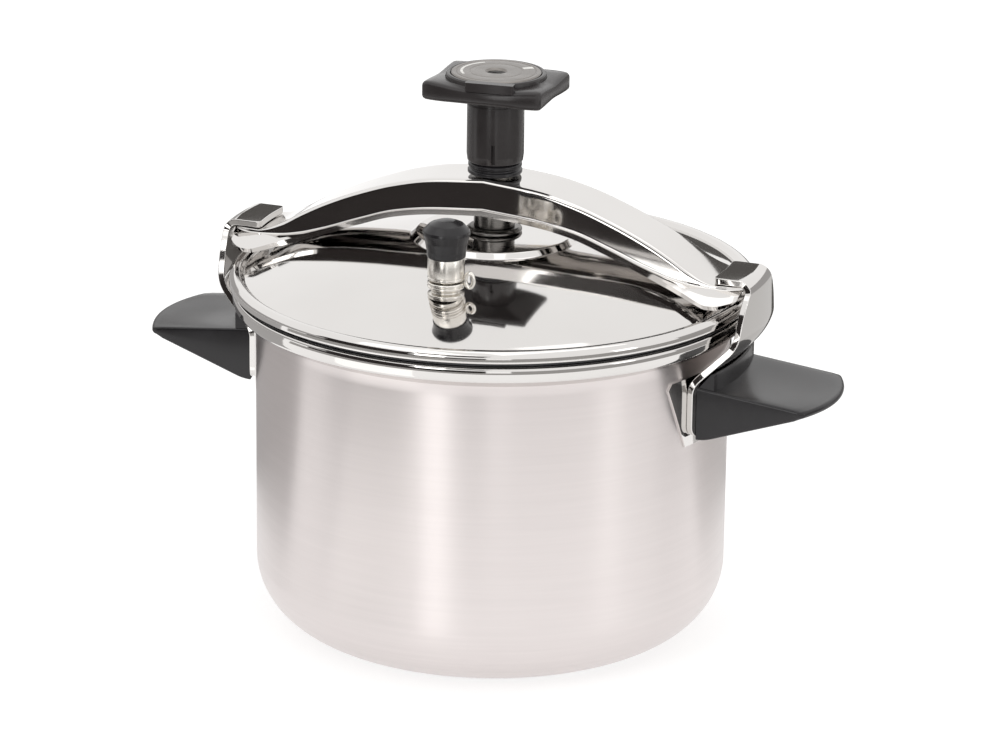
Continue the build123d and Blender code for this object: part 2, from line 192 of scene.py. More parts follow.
def steady(xs, ys, x):
    """Smooth monotone interpolation through a table."""
    n = len(xs)
    x = min(max(x, xs[0]), xs[-1])
    slopes = [(ys[i + 1] - ys[i]) / (xs[i + 1] - xs[i]) for i in range(n - 1)]
    tangents = [slopes[0]]
    for i in range(1, n - 1):
        a, b = slopes[i - 1], slopes[i]
        if a * b <= 0:
            tangents.append(0.0)
        else:
            ha, hb = xs[i] - xs[i - 1], xs[i + 1] - xs[i]
            w1, w2 = 2 * hb + ha, hb + 2 * ha
            tangents.append((w1 + w2) / (w1 / a + w2 / b))
    tangents.append(slopes[-1])
    i = max(j for j in range(n - 1) if xs[j] <= x or j == 0)
    h = xs[i + 1] - xs[i]
    t = (x - xs[i]) / h
    return ((1 + 2 * t) * (1 - t) ** 2 * ys[i] + t * (1 - t) ** 2 * h * tangents[i]
            + t * t * (3 - 2 * t) * ys[i + 1] + t * t * (t - 1) * h * tangents[i + 1])


# ---------------------------------------------------------------- material helpers
class Nodes:
    """A small wrapper that makes a material's node tree readable."""

    def __init__(self, name):
        self.material = bpy.data.materials.new(name)
        self.material.use_nodes = True
        self.tree = self.material.node_tree
        self.tree.nodes.clear()
        self.out = self.tree.nodes.new("ShaderNodeOutputMaterial")
        self.shader = self.tree.nodes.new("ShaderNodeBsdfPrincipled")
        self.link(self.shader.outputs[0], self.out.inputs[0])

    def link(self, a, b):
        self.tree.links.new(a, b)

    def set(self, **values):
        for key, value in values.items():
            self.shader.inputs[key.replace("_", " ")].default_value = value

    def node(self, kind, **settings):
        node = self.tree.nodes.new(kind)
        for key, value in settings.items():
            setattr(node, key, value)
        return node

    def coords(self, scale=(1, 1, 1)):
        source = self.node("ShaderNodeTexCoord")
        mapping = self.node("ShaderNodeMapping")
        mapping.inputs["Scale"].default_value = scale
        self.link(source.outputs["Object"], mapping.inputs[0])
        return mapping.outputs[0]

    def noise(self, vector, scale, detail=4.0, rough=0.55):
        noise = self.node("ShaderNodeTexNoise")
        noise.inputs["Scale"].default_value = scale
        noise.inputs["Detail"].default_value = detail
        noise.inputs["Roughness"].default_value = rough
        self.link(vector, noise.inputs["Vector"])
        return noise.outputs["Fac"]

    def ramp(self, value, low, high):
        span = self.node("ShaderNodeMapRange")
        span.inputs["From Min"].default_value = 0.3
        span.inputs["From Max"].default_value = 0.7
        span.inputs["To Min"].default_value = low
        span.inputs["To Max"].default_value = high
        self.link(value, span.inputs["Value"])
        return span.outputs[0]

    def colour(self, value, dark, light):
        ramp = self.node("ShaderNodeValToRGB")
        ramp.color_ramp.elements[0].position = 0.3
        ramp.color_ramp.elements[1].position = 0.7
        ramp.color_ramp.elements[0].color = (*dark, 1)
        ramp.color_ramp.elements[1].color = (*light, 1)
        self.link(value, ramp.inputs[0])
        return ramp.outputs[0]

    def bump(self, height, strength, distance, base=None):
        bump = self.node("ShaderNodeBump")
        bump.inputs["Strength"].default_value = strength
        bump.inputs["Distance"].default_value = distance
        self.link(height, bump.inputs["Height"])
        if base is not None:
            self.link(base, bump.inputs["Normal"])
        return bump.outputs[0]

    def around_z(self, across, along):
        """Coordinates that run round the vertical axis: fine up the wall, long round it."""
        source = self.node("ShaderNodeTexCoord")
        split = self.node("ShaderNodeSeparateXYZ")
        self.link(source.outputs["Object"], split.inputs[0])
        angle = self.node("ShaderNodeMath", operation="ARCTAN2")
        self.link(split.outputs[1], angle.inputs[0])
        self.link(split.outputs[0], angle.inputs[1])
        square = self.node("ShaderNodeVectorMath", operation="MULTIPLY")
        square.inputs[1].default_value = (1, 1, 0)
        self.link(source.outputs["Object"], square.inputs[0])
        length = self.node("ShaderNodeVectorMath", operation="LENGTH")
        self.link(square.outputs[0], length.inputs[0])
        join = self.node("ShaderNodeCombineXYZ")
        for i, (value, factor) in enumerate(((angle.outputs[0], along), (split.outputs[2], across),
                                             (length.outputs["Value"], across))):
            scale = self.node("ShaderNodeMath", operation="MULTIPLY")
            scale.inputs[1].default_value = factor
            self.link(value, scale.inputs[0])
            self.link(scale.outputs[0], join.inputs[i])
        return join.outputs[0]

    def join(self, socket, name):
        self.link(socket, self.shader.inputs[name])


def polished_steel():
    """Mirror-polished sheet: faint waviness, a few polishing lines and handling smears."""
    m = Nodes("polished_steel")
    m.set(Metallic=1.0)
    wave = m.noise(m.coords(), 28.0, 2.0, 0.4)
    lines = m.noise(m.coords((60, 60, 60)), 9.0, 6.0, 0.7)
    m.join(m.ramp(m.noise(m.coords(), 14.0, 6.0, 0.65), 0.035, 0.085), "Roughness")
    m.join(m.colour(m.noise(m.coords(), 9.0, 3.0), (0.69, 0.672, 0.655), (0.745, 0.728, 0.712)), "Base Color")
    m.join(m.bump(lines, 0.02, 0.00005, m.bump(wave, 0.05, 0.001)), "Normal")
    return m.material


def satin_steel():
    """Wall brushed round the pot: long fine lines, slightly uneven tone and roughness."""
    m = Nodes("satin_steel")
    m.set(Metallic=1.0, Anisotropic=0.8, Anisotropic_Rotation=0.25)
    lines = m.noise(m.around_z(5200.0, 5.0), 1.0, 5.0, 0.7)
    broad = m.noise(m.around_z(420.0, 1.5), 1.0, 4.0, 0.6)
    m.join(m.ramp(lines, 0.30, 0.37), "Roughness")
    m.join(m.colour(broad, (0.738, 0.688, 0.678), (0.763, 0.712, 0.702)), "Base Color")
    m.join(m.bump(lines, 0.05, 0.00002), "Normal")
    tangent = m.node("ShaderNodeTangent", direction_type="RADIAL", axis="Z")
    m.join(tangent.outputs[0], "Tangent")
    return m.material


def turned_steel(name, colour, rough):
    """Lathe-turned steel with fine rings."""
    m = Nodes(name)
    m.set(Metallic=1.0)
    lines = m.noise(m.coords((120, 120, 2600)), 1.0, 5.0, 0.7)
    m.join(m.ramp(lines, rough * 0.8, rough * 1.3), "Roughness")
    m.join(m.colour(m.noise(m.coords(), 60.0, 3.0), tuple(c * 0.93 for c in colour), colour), "Base Color")
    m.join(m.bump(lines, 0.15, 0.00003), "Normal")
    return m.material


def bakelite(name, deep, pale):
    """Black phenolic moulding: satin gloss, faint mottling and fine grain."""
    m = Nodes(name)
    m.set(Specular_IOR_Level=0.34, IOR=1.5, Coat_Weight=0.10, Coat_Roughness=0.08)
    grain = m.noise(m.coords(), 1400.0, 3.0, 0.6)
    mottle = m.noise(m.coords(), 70.0, 4.0, 0.6)
    m.join(m.colour(mottle, deep, pale), "Base Color")
    m.join(m.ramp(mottle, 0.21, 0.27), "Roughness")
    m.join(m.bump(grain, 0.06, 0.00008, m.bump(m.noise(m.coords(), 40.0, 2.0), 0.04, 0.001)), "Normal")
    return m.material


def paint():
    """Pale printed marks."""
    m = Nodes("pale_print")
    m.join(m.colour(m.noise(m.coords(), 300.0, 3.0), (0.62, 0.61, 0.58), (0.74, 0.73, 0.70)), "Base Color")
    m.set(Roughness=0.45)
    return m.material


def silicone():
    m = Nodes("grey_silicone")
    m.set(Specular_IOR_Level=0.4)
    mottle = m.noise(m.coords(), 90.0, 3.0)
    m.join(m.colour(mottle, (0.05, 0.05, 0.052), (0.085, 0.085, 0.09)), "Base Color")
    m.join(m.ramp(mottle, 0.5, 0.7), "Roughness")
    m.join(m.bump(m.noise(m.coords(), 900.0, 2.0), 0.1, 0.0001), "Normal")
    return m.material


STEEL = polished_steel()
SATIN = satin_steel()
TURNED = turned_steel("turned_steel", (0.70, 0.67, 0.62), 0.24)
BRASS = turned_steel("turned_brass", (0.78, 0.60, 0.30), 0.22)
ALUMINIUM = turned_steel("aluminium", (0.82, 0.82, 0.83), 0.35)
DISC = turned_steel("disc_steel", (0.25, 0.234, 0.22), 0.30)
VALVE = turned_steel("valve_steel", (0.86, 0.83, 0.78), 0.22)
DARK = turned_steel("dark_screw", (0.045, 0.042, 0.04), 0.4)
FOOT = turned_steel("foot_steel", (0.23, 0.22, 0.21), 0.28)
BLACK = bakelite("black_bakelite", (0.0115, 0.0105, 0.0115), (0.0155, 0.0145, 0.016))
KNOB = bakelite("knob_bakelite", (0.0225, 0.0195, 0.0195), (0.0285, 0.0250, 0.0250))
RUBBER = silicone()
PAINT = paint()


def dress(piece, material, body, slot, *nodes):
    """Material, body and the CAD nodes that a made piece stands for; the finish slot is not used."""
    piece.data.materials.clear()
    piece.data.materials.append(material)
    if nodes:
        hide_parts(*nodes)
    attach(piece, body)
    return piece


CAD_MATERIALS = {
    STEEL: ["lug_right", "lug_left", "saddle_right", "saddle_left", "stirrup", "lid_shell"],
    SATIN: ["pot_shell", "base_cap"],
    ALUMINIUM: ["heat_spreader"],
    TURNED: ["handle_studs", "handle_washers", "handle_nuts", "valve_chimney", "valve_nut", "valve_base",
             "valve_collar", "valve_weight", "valve_needle", "stirrup_nut", "clamp_screw", "foot_clip",
             "foot_hub", "foot_pad", "safety_plunger", "safety_spring"],
    DARK: ["knob_screw"],
    DISC: ["knob_disc"],
    BRASS: ["safety_body", "safety_nut", "safety_seat"],
    RUBBER: ["lid_gasket", "valve_seal", "safety_seal"],
    BLACK: ["handle_right", "handle_left", "valve_cap", "stirrup_collar"],
    KNOB: ["knob", "knob_ring"],
}
for material, names in CAD_MATERIALS.items():
    for name in names:
        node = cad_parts[name]
        for s in node.material_slots:
            s.material = material


# ---------------------------------------------------------------- pot
CORNER_R, WALL_R, SHEET = 33.0, 111.0, 1.2


def corner(sheet, z_start):
    """Bottom corner from a height up to the straight wall, as (radius, height) points."""
    r = CORNER_R - sheet
    start = math.degrees(math.asin((z_start - CORNER_R) / r))
    return arc(WALL_R - CORNER_R, CORNER_R, r, start, 0, 28)


def pot_profile():
    outside = [(0, 5.0)] + corner(0, 5.0) + [(WALL_R, z) for z in (60, 90, 120, 145, 150.0)]
    inside = [(WALL_R - SHEET, z) for z in (150, 100, 60)] + corner(SHEET, 6.2)[::-1] + [(0, 6.2)]
    rim = soften([(WALL_R, 150.0), (WALL_R + 0.9, 151.7), (116.6, 152.6), (121.6, 156.2), (122.0, 160.0),
                  (122.0, 163.0), (WALL_R - SHEET, 163.0), (WALL_R - SHEET, 150.0)],
                 [0, 0.8, 4.5, 4.5, 3.0, 1.5, 0.9, 0], 6, closed=False)
    return outside + rim[1:-1] + inside


pot = lathe("pot_vessel", pot_profile(), 256)
dress(pot, SATIN, "pot", "steel_satin", "pot_shell")
pot.data.materials.append(STEEL)
POLISHED_FROM = 0.1125    # metres from the axis: only the curled rim lies past it
for polygon in pot.data.polygons:
    if math.hypot(*polygon.center[:2]) > POLISHED_FROM:
        polygon.material_index = 1

cap = lathe("base_skin", [(0, 0.0), (78.0, 0.0)] + arc(78, 33, 33, -88, -58.3, 12)
            + [(94.0, 4.95), (92.6, 4.6), (89.0, 2.2), (80.0, 0.85), (0, 0.8)], 256)
dress(cap, SATIN, "pot", "steel_satin", "base_cap")


# ---------------------------------------------------------------- lugs
def lug_rows():
    """Stations up the bent strip, round its hook and inward, each as a row across the strip."""
    path = soften([(113.4, 113.0), (113.4, 138.0), (130.3, 157.0), (130.3, 183.5), (113.0, 183.5)],
                  [0, 12.0, 13.0, 4.8, 0], 12, closed=False)
    dense = [path[0]]
    for a, b in zip(path, path[1:]):
        steps = max(1, int(math.dist(a, b) / 0.9))
        dense += [(a[0] + (b[0] - a[0]) * k / steps, a[1] + (b[1] - a[1]) * k / steps)
                  for k in range(1, steps + 1)]
    zs = [113, 137, 142, 150, 157, 163, 170, 176, 181.5, 185]
    halves = [33.0, 33.0, 32.2, 29.4, 26.8, 24.8, 22.2, 18.6, 15.0, 14.6]
    rows = []
    for r, z in dense:
        half = steady(zs, halves, z)
        if z < 118.5:
            half += math.sqrt(max(5.5 ** 2 - (118.5 - z) ** 2, 0)) - 5.5
        if z > 183 and r < 115.5:
            half += math.sqrt(max(2.5 ** 2 - (115.5 - r) ** 2, 0)) - 2.5
        row = []
        for k in range(31):
            y = half * (k / 15 - 1)
            row.append((math.sqrt(r * r - y * y), y, z))
        rows.append(row)
    return rows


lug_right = grid("lug_plate_right", lug_rows())
thicken(lug_right, 3.0, 0.0, 0.55)
lug_left = turned(lug_right, "lug_plate_left")
dress(lug_right, STEEL, "pot", "steel_polished", "lug_right")
dress(lug_left, STEEL, "pot", "steel_polished", "lug_left")


# ---------------------------------------------------------------- grips
def rounded_ring(w, low, high, r, dish=0.0):
    """A rounded rectangle in (y, z), always with the same number of points."""
    h = (high - low) / 2
    r = min(r, h * 0.98, w * 0.98)
    points = []
    for cy, cz, a0 in ((w - r, low + r, -90), (w - r, high - r, 0),
                       (-w + r, high - r, 90), (-w + r, low + r, 180)):
        points += [(cy + r * math.cos(math.radians(a0 + 90 * k / 6)),
                    cz + r * math.sin(math.radians(a0 + 90 * k / 6))) for k in range(7)]
        if a0 == 0:
            for k in range(1, 16):
                y = (w - r) * (1 - k / 8)
                points.append((y, high - dish * (1 - (y / (w - r)) ** 2) ** 1.5))
        if a0 == 180:
            points += [((w - r) * (k / 8 - 1), low) for k in range(1, 16)]
    return points


def grip():
    """Wedge-shaped grip with a dished top, from the pot's wall out to a bowed, rounded end."""
    def outer_x(y, w):
        x = 169.4 - 7.9 * (y / w) ** 2
        edge = abs(y) - (w - 2)
        return x - (2 - math.sqrt(max(4 - edge * edge, 0)) if edge > 0 else 0)

    rows = []
    stations = [k / 40 for k in range(40)] + [1.0] * 7
    for i, s in enumerate(stations):
        nominal = 115.1 + (168.0 - 115.1) * s
        low = 111.5 if nominal < 119 else 111.5 + (nominal - 119) * (16.6 / 49)
        if abs(nominal - 119) < 4:
            low = 111.5 + (nominal - 115) ** 2 * 0.0212
        high = 136.8 - (nominal - 115.1) * 0.1025
        w = 30.4 - 0.2 * s
        back = 0.0
        if i >= 40:
            phi = math.radians(15 * (i - 40))
            shrink = 1.7 * (1 - math.cos(phi))
            back = 1.7 * (1 - math.sin(phi))
            low, high, w = low + shrink, high - shrink, w - shrink
        elif s > 0.9:
            back = 1.7 * (s - 0.9) / 0.1
        row = []
        dish = 1.1 * min(1, s * 4) * (1 - s ** 6)
        for y, z in rounded_ring(w, low, high, 1.1 if s < 1 else 1.0, dish):
            inner = math.sqrt(115.05 ** 2 - y * y)
            row.append((inner + (outer_x(y, 30.4) - inner) * s - back, y, z))
        rows.append(row)
    return grid("grip", rows, 30, closed_rows=True, caps=True)


def riser():
    """Upright block between the grip's top face and the underside of the lug."""
    section = soften([(115.1, 128.0), (122.7, 128.0), (122.7, 145.5), (117.2, 139.2), (115.1, 136.4)],
                     [0, 0, 0.8, 0.8, 0.5], 4)
    half = 29.4
    rows = []
    for k in range(49):
        t = k / 24 - 1
        inset = 0.35 if abs(t) > 23.5 / 24 else 0.0
        y0 = half * t
        row = []
        for r, z in section:
            r2 = r - (inset if r > 119 else 0)
            row.append((math.sqrt(r2 * r2 - y0 * y0), y0, z - inset * (z > 135)))
        rows.append(row)
    return grid("riser", rows, 35, closed_rows=True, caps=True)


def joined(name, *parts):
    """One object from several, keeping each as its own shell."""
    mesh = bmesh.new()
    for part in parts:
        mesh.from_mesh(part.data)
    data = bpy.data.meshes.new(name)
    mesh.to_mesh(data)
    mesh.free()
    piece = bpy.data.objects.new(name, data)
    bpy.context.scene.collection.objects.link(piece)
    for part in parts:
        bpy.data.objects.remove(part)
    return piece


def prism(name, plan, z0, z1):
    """An upright prism on a plan of (x, y) points."""
    verts = [(x, y, z) for z in (z0, z1) for x, y in plan]
    n = len(plan)
    faces = [tuple(range(n))[::-1], tuple(range(n, 2 * n))]
    faces += [(k, (k + 1) % n, n + (k + 1) % n, n + k) for k in range(n)]
    piece = mesh_object(name, verts, faces)
    outward(piece)
    return piece


def cut(piece, cutter):
    """Takes a cutter away from a piece."""
    boolean = piece.modifiers.new("cut", "BOOLEAN")
    boolean.object = cutter
    boolean.operation = "DIFFERENCE"
    boolean.solver = "EXACT"
    graph = bpy.context.evaluated_depsgraph_get()
    mesh = bpy.data.meshes.new_from_object(piece.evaluated_get(graph))
    piece.modifiers.clear()
    piece.data = mesh
    bpy.data.objects.remove(cutter)
    for polygon in mesh.polygons:
        polygon.use_smooth = True
    mesh.set_sharp_from_angle(angle=math.radians(30))


grip_body = grip()
pocket = soften([(131.5, -7.5), (144.5, -7.5), (144.5, 7.5), (131.5, 7.5)], 1.5)
cut(grip_body, prism("pocket", pocket, 100, 129.2))
grip_right = joined("grip_right", grip_body, riser())
grip_left = turned(grip_right, "grip_left")
dress(grip_right, BLACK, "pot", "bakelite", "handle_right")
dress(grip_left, BLACK, "pot", "bakelite", "handle_left")


# ---------------------------------------------------------------- lid
DOME_TOP, DOME_R = 189.9, 337.0


def dome_z(r, drop=0.0):
    """Height of the dome at a radius, or of a surface lower by drop."""
    return DOME_TOP - drop - DOME_R + math.sqrt(DOME_R ** 2 - r * r)


def lid_profile():
    """Disc, bevel, dome, crease and rolled edge, with the sheet's underside."""
    top = [(0, 190.3), (20, 190.3), (34.5, 190.3)]
    step = soften([(34.5, 190.3), (36.4, 190.3), (38.9, dome_z(38.9)), (42.0, dome_z(42.0))],
                  [0, 0.9, 1.6, 0], 6, closed=False)
    crown = [(r, dome_z(r)) for r in range(44, 114, 2)]
    edge = soften([(114.0, dome_z(114.0)), (116.6, dome_z(116.6) - 0.2), (118.3, 170.6), (121.2, 170.6),
                   (123.3, 168.6), (123.3, 165.4), (122.1, 165.4), (122.1, 168.0), (120.4, 169.3),
                   (118.6, 169.3), (117.2, dome_z(117.2, SHEET)), (113.0, dome_z(113.0, SHEET))],
                  [0, 0.7, 1.8, 2.2, 2.2, 0.4, 0.4, 1.4, 1.4, 0.8, 1.2, 0], 7, closed=False)
    under = [(r, dome_z(r, SHEET)) for r in range(110, 38, -4)] + [(38.3, dome_z(38.3, SHEET)),
                                                                     (35.8, 189.1), (0, 189.1)]
    return top + step[1:] + crown + edge + under


lid = lathe("lid_dome", lid_profile(), 320, sharp=40)
dress(lid, STEEL, "lid", "steel_polished", "lid_shell")


# ---------------------------------------------------------------- stirrup
# section of the bow at distances from its middle; the outline is mirrored about both axes
STATIONS = [0.0, 26.0, 44.0, 62.0, 80.0, 92.0, 101.0, 108.0, 113.5, 119.5, 124.0, 128.0]
TOP = [218.5, 216.0, 212.0, 205.8, 198.0, 191.6, 186.2, 182.9, 181.6, 181.6, 181.6, 181.6]
LOW = [202.0, 199.8, 196.6, 190.6, 183.8, 180.2, 178.6, 178.1, 177.9, 177.6, 177.6, 177.6]
HALF_TOP = [15.0, 15.0, 15.0, 15.0, 15.1, 15.4, 15.8, 16.0, 15.8, 14.8, 13.2, 11.6]
HALF_WALL = [15.8, 15.8, 15.8, 15.9, 16.0, 16.2, 16.4, 16.6, 16.4, 15.4, 13.8, 12.2]
HALF_LIP = [17.9, 17.9, 18.0, 18.3, 19.2, 21.4, 24.2, 26.8, 28.2, 27.0, 23.4, 17.0]
DROOP = [0.0, 0.0, 0.0, 0.0, 0.2, 0.9, 2.2, 3.8, 4.8, 4.6, 4.0, 3.2]
BOW_SHEET = 2.5
BOW_END = 126.5


def stirrup_row(x):
    """The section at x: crown, wall and turned-out lip, rounded at the bends."""
    s = abs(x)
    top, low, a, b, c, droop = (steady(STATIONS, table, s)
                                for table in (TOP, LOW, HALF_TOP, HALF_WALL, HALF_LIP, DROOP))
    lip_z = low + BOW_SHEET
    corners = [(0, top), (a + 0.5, top), (b, lip_z), ((b + c) / 2 + 0.6, lip_z - droop * 0.42),
               (c, lip_z - droop)]
    half = soften(corners, [0, 2.4, 1.3, 1.5, 0], 8, closed=False)
    flat = half[1][0]
    fine = [half[0]] + [(flat * k / 4, top) for k in (1, 2, 3)] + half[1:10]
    fine += [tuple(Vector(half[9]).lerp(Vector(half[10]), k / 4)) for k in (0.3, 2, 3.7)] + half[10:]
    points = [(-y, z) for y, z in reversed(fine[1:])] + fine
    fade = min(max((s - 100) / 26.5, 0), 1) ** 2
    row = []
    for y, z in points:
        pull = (BOW_END - math.sqrt(BOW_END ** 2 - y * y)) * fade
        row.append((math.copysign(s - pull, x), y, z))
    return row


BOW_STEPS = 150
bow_rows = [stirrup_row(-BOW_END + 2 * BOW_END * k / BOW_STEPS) for k in range(BOW_STEPS + 1)]
stirrup = grid("stirrup_channel", bow_rows, 50)
if sum(p.normal.z for p in stirrup.data.polygons) < 0:
    stirrup.data.flip_normals()
thicken(stirrup, BOW_SHEET, -1.0, 0.7)
dress(stirrup, STEEL, "stirrup", "steel_polished", "stirrup")


# ---------------------------------------------------------------- knob
HEAD_LONG_HALF, HEAD_SHORT_HALF, HEAD_BULGE = 29.0, 20.8, 4.6


def head_outline():
    """Four-cornered head in plan, its long sides bowed out."""
    side = [(HEAD_LONG_HALF * (1 - k / 12), HEAD_SHORT_HALF + HEAD_BULGE * (1 - (1 - k / 12) ** 2))
            for k in range(25)]
    plan = side + [(-x, -y) for x, y in side]
    radii = [4.5 if k % 25 in (0, 24) else 0 for k in range(50)]
    return soften(plan, radii, 8)


def edge_distance(outline, theta):
    """Distance from the centre to an outline in one direction."""
    dx, dy = math.cos(theta), math.sin(theta)
    best = 0.0
    for (ax, ay), (bx, by) in zip(outline, outline[1:] + outline[:1]):
        ex, ey = bx - ax, by - ay
        cross = dx * ey - dy * ex
        if abs(cross) < 1e-9:
            continue
        along = (ax * ey - ay * ex) / cross
        part = (ax * dy - ay * dx) / cross
        if along > 0 and -1e-6 <= part <= 1 + 1e-6:
            best = max(best, along)
    return best


def knob_rows():
    """Rows from the bore up the stem, round the four-cornered head and back to the bore."""
    around = 192
    turn = math.radians(1)
    outline = head_outline()
    reach = [edge_distance(outline, 2 * math.pi * k / around - turn) for k in range(around)]
    corner_at = math.atan2(HEAD_SHORT_HALF, HEAD_LONG_HALF)

    def head(scale, z_mid, z_corner, to_circle=0.0, radius=0.0):
        """A row on the head: its outline at a scale, higher or lower at the corners, eased to a circle."""
        row = []
        for k in range(around):
            th = 2 * math.pi * k / around
            rho = reach[k] * scale * (1 - to_circle) + radius * to_circle
            near = abs(abs((th - turn + math.pi / 2) % math.pi - math.pi / 2) - corner_at)
            mix = math.exp(-(near / 0.42) ** 2)
            row.append((rho * math.cos(th), rho * math.sin(th), z_mid + (z_corner - z_mid) * mix))
        return row

    stem = soften([(12.6, 224.6), (12.9, 224.9), (13.3, 228.0), (13.3, 251.6), (13.0, 252.4), (13.0, 253.4)],
                  [0, 0.6, 2.0, 0.4, 0.4, 0], 4, closed=False)
    head_steps = [(0.60, 254.6, 254.4, 0.7, 16.0), (0.80, 255.9, 255.1), (0.92, 256.4, 255.5),
                  (0.965, 256.8, 255.8), (0.99, 257.6, 256.5), (1.0, 258.6, 257.5), (1.0, 261.0, 261.9),
                  (0.993, 262.0, 263.0), (0.975, 262.7, 263.8), (0.95, 263.1, 264.2),
                  (0.925, 263.3, 264.3, 0.3, 24.4), (0.92, 263.9, 264.5, 1.0, 23.9)]
    top = [(23.5, 264.4), (23.3, 264.0), (20.5, 263.6), (7.3, 263.5)]
    return rings([(7.3, 224.6)] + stem, around) + [head(*step) for step in head_steps] + rings(top, around)


moulding_rows = knob_rows()
body = grid("knob_moulding", moulding_rows + [moulding_rows[0]], 38, closed_rows=True)
SLOT_HALF = 0.8
slot_plan = [(4.1 - SLOT_HALF, -16), (4.1 + SLOT_HALF, -16),
             (3.6 + SLOT_HALF, -11.6), (3.6 - SLOT_HALF, -11.6)]
cut(body, prism("slot", slot_plan, 225.6, 234.6))
dress(body, KNOB, "knob", "bakelite", "knob")

ring_profile = soften([(21.1, 263.7), (23.4, 263.7), (23.2, 265.9), (22.6, 266.5), (21.6, 266.5),
                       (21.1, 266.1)], [0, 0, 0.7, 0.5, 0.4, 0.3], 4)
dress(lathe("knob_trim_ring", ring_profile), KNOB, "knob", "bakelite", "knob_ring")

# a disc with two turned grooves
disc_profile = soften([(4.2, 263.7), (20.9, 263.7), (20.9, 266.4), (20.3, 266.9), (18.9, 266.9),
                       (18.6, 266.6), (18.3, 266.6), (18.0, 266.9), (12.6, 266.9), (12.4, 266.75),
                       (12.1, 266.75), (11.9, 266.9), (5.2, 266.9), (4.2, 265.9)],
                      [0, 0, 0.3, 0.3, 0.15, 0.1, 0.1, 0.15, 0.05, 0.05, 0.05, 0.05, 0.4, 0.3], 3)
disc_piece = lathe("knob_top_disc", disc_profile, 192)
dress(disc_piece, DISC, "knob", "steel_parts", "knob_disc")


def flat_mark(name, inner, outer, start, end, low, high):
    """A thin raised sector on the disc."""
    rows = []
    for k in range(33):
        a = math.radians(start + (end - start) * k / 32)
        rows.append([(r * math.cos(a), r * math.sin(a), z) for r, z in
                     ((inner, low), (outer, low), (outer, high), (inner, high))])
    return grid(name, rows, 30, closed_rows=True, caps=True)


lean = Matrix.Rotation(math.radians(5), 2)
plate_plan = [tuple(Vector((5.6, -22.9)) + lean @ Vector(c)) for c in
              soften([(-11.4, -2.3), (11.4, -2.3), (11.4, 2.3), (-11.4, 2.3)], 0.6, 3)]
plate = prism("knob_plain_plate", plate_plan, 262.9, 267.1)
dress(plate, KNOB, "knob", "bakelite")
for name, marks in (("knob_turn_mark", (15.4, 16.6, 130, 222)), ("knob_turn_wedge", (13.2, 18.2, 36, 47))):
    mark = flat_mark(name, *marks, 266.8, 266.96)
    dress(mark, PAINT, "knob", "steel_parts")

grooved_profile = soften([(9.06, 218.7), (12.7, 218.7), (12.7, 220.4), (11.7, 221.0), (11.7, 221.6),
                          (12.5, 222.2), (12.5, 223.4), (11.6, 224.15), (9.06, 224.15)],
                         [0, 0.6, 0.4, 0.3, 0.3, 0.4, 0.5, 0.6, 0], 4)
grooved = lathe("stirrup_grooved_collar", grooved_profile)
dress(grooved, BLACK, "stirrup", "bakelite", "stirrup_collar")


# ---------------------------------------------------------------- clamp screw and foot
def screw_rows(low, high, root, crest, pitch, around=48, per_turn=10):
    """A right-hand thread as one helical surface between two heights, closed onto the core."""
    rows = []
    steps = int((high - low) / pitch * per_turn)
    for i in range(steps + 1):
        z = low + (high - low) * i / steps
        row = []
        for k in range(around):
            th = 2 * math.pi * k / around
            phase = ((z / pitch) - th / (2 * math.pi)) % 1.0
            depth = min(abs(phase - 0.5) * 2 * 1.5, 1.0)
            fade = min(1.0, (z - low) / 1.5, (high - z) / 1.5)
            radius = crest - (crest - root) * (1 - depth) * fade
            row.append((radius * math.cos(th), radius * math.sin(th), z))
        rows.append(row)
    return rows


tip = rings([(0.3, 193.35), (3.6, 193.35), (3.95, 193.7), (3.95, 193.8), (3.25, 193.9), (3.25, 194.8),
             (3.95, 194.9), (3.95, 200.8), (6.3, 200.85)])
shank = rings([(6.3, 232.9), (4.95, 233.0), (4.95, 261.0), (0.3, 261.0)])
SCREW_PITCH = 3.0
thread = screw_rows(201.3, 232.6, 5.9, 6.85, SCREW_PITCH)
spindle = grid("clamp_spindle", tip + thread + shank, 40, closed_rows=True, caps=True)
dress(spindle, TURNED, "knob", "steel_parts", "clamp_screw")

hub_profile = soften([(4.1, 195.6), (4.1, 200.4), (9.0, 200.4), (9.6, 199.8), (9.6, 193.1), (5.9, 193.1),
                      (5.9, 195.6)], [0.1, 0.3, 0.4, 0.4, 0.3, 0.1, 0.1], 3)
dress(lathe("foot_swivel_hub", hub_profile, 96), FOOT, "foot", "steel_parts", "foot_hub")
pad_profile = soften([(0, 192.95), (11.6, 192.95), (13.0, 191.9), (13.0, 191.0), (12.4, 190.6), (0, 190.6)],
                     [0, 0.8, 0.8, 0.5, 0.4, 0], 4)
dress(lathe("foot_pressure_pad", pad_profile, 128), FOOT, "foot", "steel_parts", "foot_pad")


